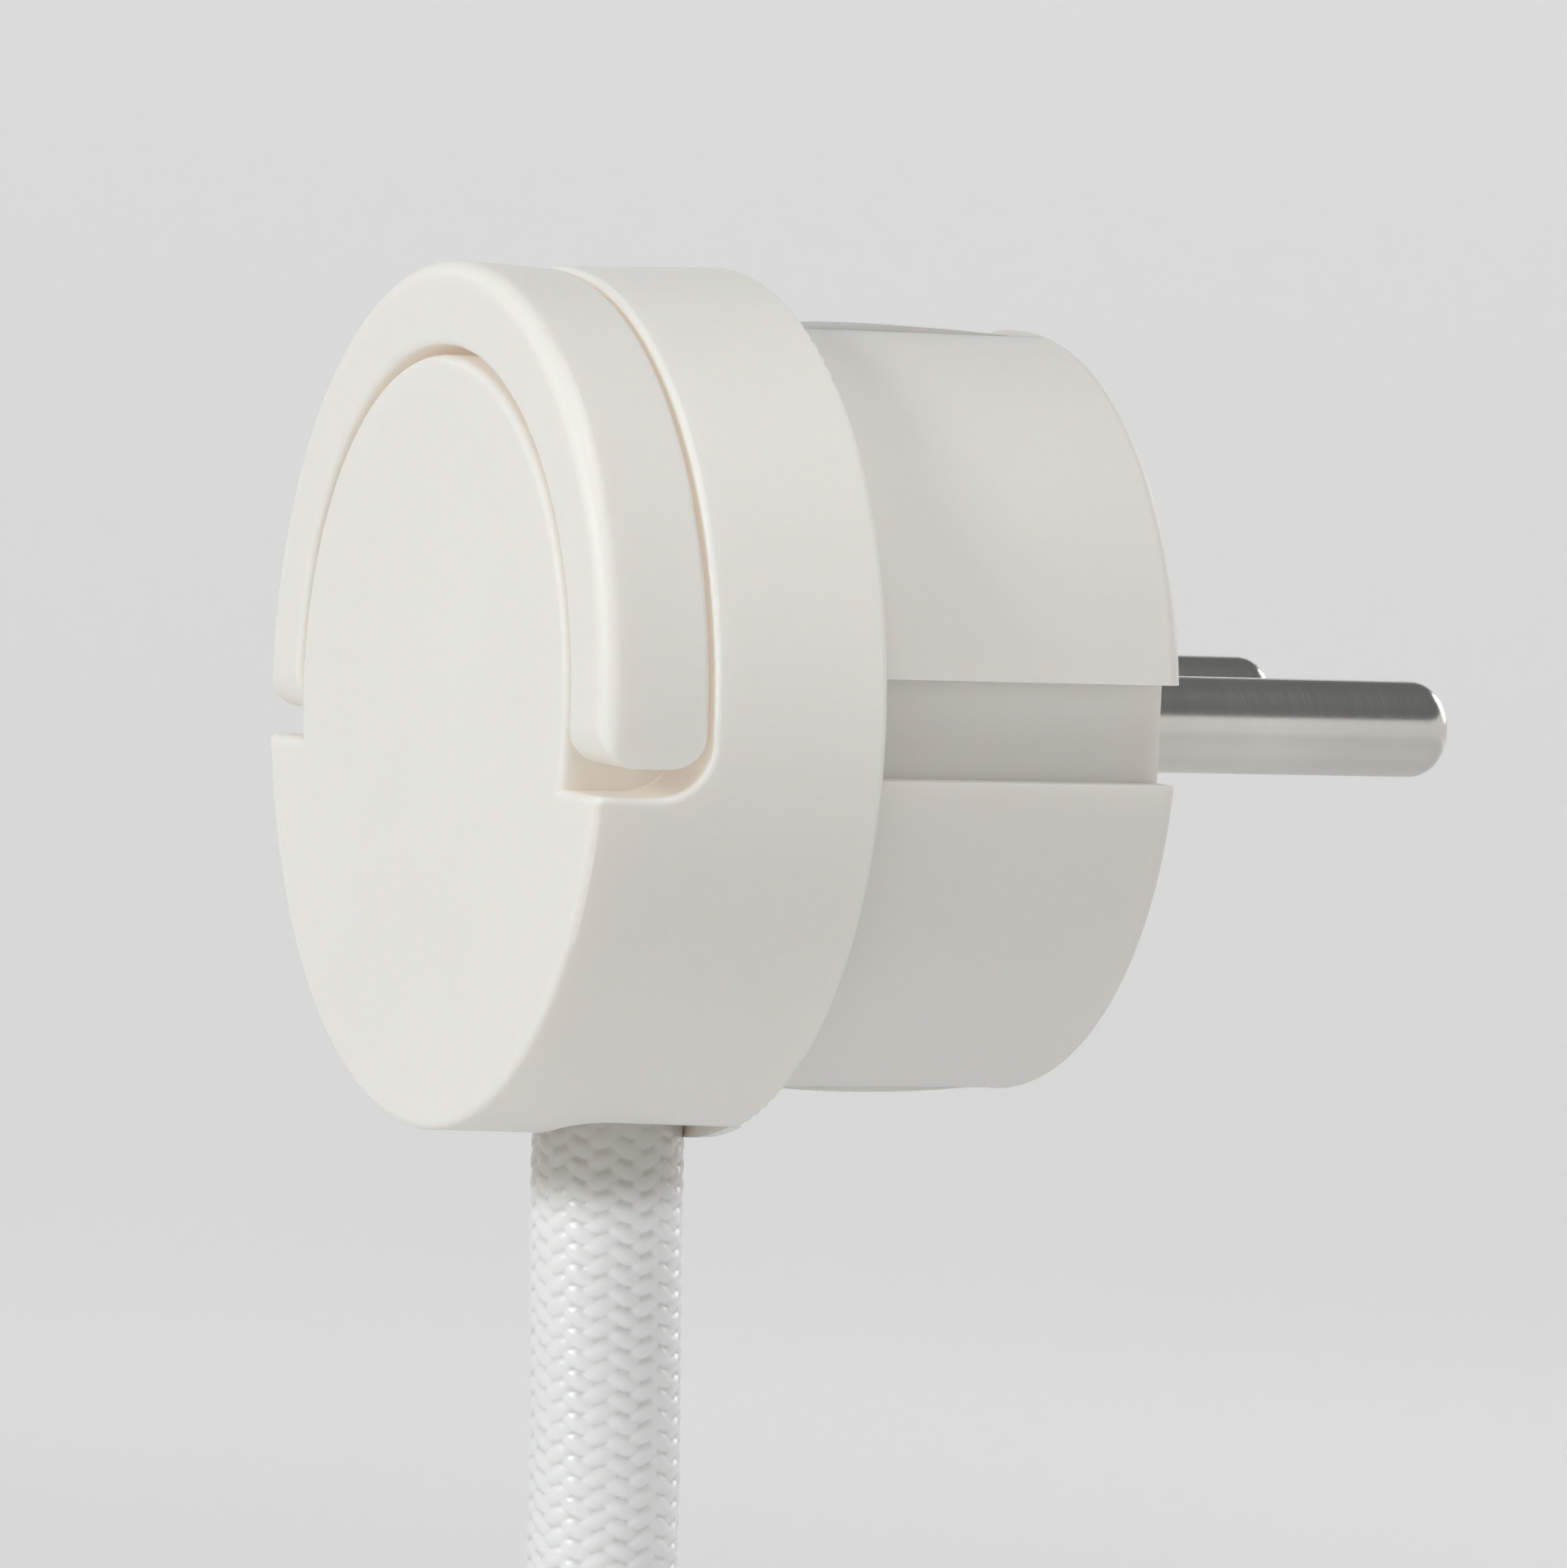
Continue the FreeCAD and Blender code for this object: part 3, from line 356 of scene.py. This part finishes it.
def side_directions(path):
    """Two directions across the path at each of its points, without any twist between them."""
    tangent = np.gradient(path, axis=0)
    tangent /= np.linalg.norm(tangent, axis=1)[:, None]
    side = np.zeros_like(path)
    side[0] = np.cross(tangent[0], (0.0, 1.0, 0.0))
    for i in range(1, len(path)):
        side[i] = side[i - 1] - np.dot(side[i - 1], tangent[i]) * tangent[i]
        side[i] /= np.linalg.norm(side[i])
    return side, np.cross(tangent, side)


def yarn_height(turn, along):
    """The weave's height from 0 to 1: leaning ovals in columns, every other column half a step on."""
    across = turn * BRAID_COLUMNS
    height = np.zeros(np.broadcast(turn, along).shape)
    for step in (-1, 0, 1):
        column = np.floor(across) + step
        odd = np.mod(column, 2)
        a = across - column - 0.5
        b = along / BRAID_PITCH + 0.5 * odd + YARN_LEAN * (1 - 2 * odd) * a
        b = b - np.floor(b) - 0.5
        oval = np.sqrt(np.clip(1 - (a / YARN_HALF_WIDTH) ** 2 - (b / YARN_HALF_HEIGHT) ** 2, 0.0, 1.0))
        height = np.maximum(height, oval)
    return height


def tube_mesh(rings, stations):
    """A closed tube through rings of points, with the turn and the distance along it as its UV map."""
    count, around = rings.shape[:2]
    i, j = np.meshgrid(np.arange(count - 1), np.arange(around), indexing="ij")
    k = (j + 1) % around
    faces = np.stack([i * around + j, (i + 1) * around + j, (i + 1) * around + k, i * around + k], axis=-1)
    ends = [list(range(around)), list(range((count - 1) * around, count * around))[::-1]]
    mesh = bpy.data.meshes.new("woven_lead")
    mesh.from_pydata(rings.reshape(-1, 3).tolist(), [], faces.reshape(-1, 4).tolist() + ends)
    turn = np.stack([j, j, j + 1, j + 1], axis=-1).reshape(-1) / around
    uv = np.zeros((len(mesh.loops), 2))
    uv[:len(turn), 0] = turn
    uv[:len(turn), 1] = stations[np.stack([i, i + 1, i + 1, i], axis=-1).reshape(-1)]
    mesh.uv_layers.new(name="along").data.foreach_set("uv", uv.ravel())
    mesh.polygons.foreach_set("use_smooth", [True] * len(mesh.polygons))
    return mesh


def braided_lead():
    """The lead as a tube along its route, its weave modelled where it is seen close up."""
    line = smooth_line(cord_route())
    at = distances(line)
    stations = ring_stations(at[-1])
    path = np.stack([np.interp(stations, at, line[:, i]) for i in range(3)], axis=1)
    side, other = side_directions(path)
    around = BRAID_COLUMNS * SIDES_PER_COLUMN
    turn = np.arange(around) / around
    shown = np.clip(np.minimum(stations - WEAVE_START, WEAVE_END - stations) / WEAVE_FADE, 0.0, 1.0)
    raised = (yarn_height(turn[None, :], stations[:, None]) - WEAVE_MEAN) * shown[:, None]
    radius = CORD_DIAMETER / 2 + BRAID_HEIGHT * raised
    angle = 2 * math.pi * turn[None, :, None]
    outward = np.cos(angle) * side[:, None, :] + np.sin(angle) * other[:, None, :]
    mesh = tube_mesh(path[:, None, :] + radius[:, :, None] * outward, stations)
    mesh.materials.append(sheath().material)
    lead = bpy.data.objects.new("woven_lead", mesh)
    bpy.context.scene.collection.objects.link(lead)
    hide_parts("cord", "cord_coil", "cord_tail")
    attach(lead, "plug")


# Surroundings

def studio():
    """A plain pale floor that sweeps up all round, and soft light."""
    floor_and_sweep()
    world = bpy.data.worlds.new("world")
    bpy.context.scene.world = world
    world.use_nodes = True
    world.node_tree.nodes["Background"].inputs["Color"].default_value = (0.98, 1.0, 1.0, 1.0)
    world.node_tree.nodes["Background"].inputs["Strength"].default_value = 0.155
    area_light("key", (0.15, -1.37, 0.62), 0.4, 6.75, (0.955, 0.995, 1.0))
    area_light("top", (0.5, -0.2, 1.4), 1.0, 10.2, (0.985, 0.995, 1.0))
    area_light("rear", (-0.55, 1.25, 0.45), 0.7, 3.0, (0.985, 0.995, 1.0))


def floor_and_sweep():
    """A round floor whose rim bends up into a backdrop."""
    floor_z = cad_bounds[0][2] - FLOOR_BELOW
    profile = [(radius, 0.0) for radius in FLOOR_RADII]
    for k in range(1, SWEEP_STEPS + 1):
        a = math.radians(90 * k / SWEEP_STEPS)
        profile.append((FLOOR_RADII[-1] + SWEEP_RADIUS * math.sin(a), SWEEP_RADIUS * (1.0 - math.cos(a))))
    profile.append((FLOOR_RADII[-1] + SWEEP_RADIUS, SWEEP_TOP))
    vertices = [(0.0, 0.0, floor_z)]
    for r, z in profile:
        for k in range(FLOOR_SIDES):
            a = 2 * math.pi * k / FLOOR_SIDES
            vertices.append((r * math.cos(a), r * math.sin(a), floor_z + z))
    faces = [(0, 1 + k, 1 + (k + 1) % FLOOR_SIDES) for k in range(FLOOR_SIDES)]
    for row in range(len(profile) - 1):
        base = 1 + row * FLOOR_SIDES
        for k in range(FLOOR_SIDES):
            n = (k + 1) % FLOOR_SIDES
            faces.append((base + k, base + FLOOR_SIDES + k, base + FLOOR_SIDES + n, base + n))
    mesh = bpy.data.meshes.new("floor")
    mesh.from_pydata(vertices, [], faces)
    mesh.polygons.foreach_set("use_smooth", [True] * len(mesh.polygons))
    mesh.materials.append(pale_floor().material)
    floor = bpy.data.objects.new("floor", mesh)
    bpy.context.scene.collection.objects.link(floor)
    return floor


def pale_floor():
    """The floor's matt finish, which glows a little towards its rim."""
    mat = Mat("pale_floor")
    mat.set(Base_Color=(0.86, 0.855, 0.855, 1.0), Roughness=0.9)
    away = mat.node("ShaderNodeVectorMath", operation="LENGTH")
    mat.link(mat.node("ShaderNodeTexCoord").outputs["Object"], away.inputs[0])
    mat.glow((1.0, 0.995, 0.995, 1.0), mat.smooth_step(away.outputs["Value"], FLOOR_GLOW))
    return mat


def area_light(name, place, size, power, colour):
    """A soft round light that faces the plug."""
    data = bpy.data.lights.new(name, "AREA")
    data.shape = "DISK"
    data.size = size
    data.energy = power
    data.color = colour
    light = bpy.data.objects.new(name, data)
    bpy.context.scene.collection.objects.link(light)
    light.location = place
    light.rotation_euler = (Vector((0.0, -0.02, 0.0)) - light.location).to_track_quat("-Z", "Y").to_euler()


def dress():
    """The finishes of the rigid pieces."""
    # The shell gets a painted glow in its narrow gaps
    shell = painted_gap_glow(plastic("off_white_shell", (0.89, 0.865, 0.815), 0.44, 0.5))
    body = plastic("off_white_insert", (0.84, 0.815, 0.77), 0.46, 0.4)
    inner = plastic("grey_inner", (0.52, 0.52, 0.50), 0.5, 0.05)
    bush = plastic("soft_bush", (0.60, 0.585, 0.555), 0.55, 0.2)
    connector = plastic("connector_shell", (0.72, 0.71, 0.68), 0.45, 0.25, 0.00002)
    plated = metal("plated_pin", (0.78, 0.76, 0.71), 0.2)
    strip = metal("plated_strip", (0.72, 0.70, 0.65), 0.28)
    brass = metal("turned_brass", (0.78, 0.60, 0.32), 0.3)
    zinc = metal("zinc_screw", (0.66, 0.66, 0.65), 0.32)
    brown = plastic("brown_core", (0.18, 0.07, 0.03), 0.4, 0.0)
    blue = plastic("blue_core", (0.03, 0.12, 0.42), 0.4, 0.0)
    green = plastic("green_core", (0.32, 0.48, 0.05), 0.4, 0.0)
    finishes = {
        "front_cap": shell, "pull_ring": shell, "hinge_pins": zinc, "contact_insert": body,
        "contact_bridge": inner, "live_pin": plated, "neutral_pin": plated, "earth_strap": strip,
        "earth_terminal": brass, "earth_socket": strip, "housing_screw": zinc, "terminal_screws": zinc,
        "clamp_bar": inner, "clamp_screws": zinc, "cord_grommet": bush, "live_core": brown,
        "neutral_core": blue, "earth_core": green, "coil_tie": tape(), "connector_relief": connector,
        "connector_grip": connector, "connector_nose": connector, "connector_contacts": brass}
    for name, finish in finishes.items():
        mesh = NODES[name].data
        mesh.materials.clear()
        mesh.materials.append(finish.material)


make_camera()
braided_lead()
dress()
studio()
bpy.context.scene.view_settings.view_transform = "Standard"

bpy.context.view_layer.update()
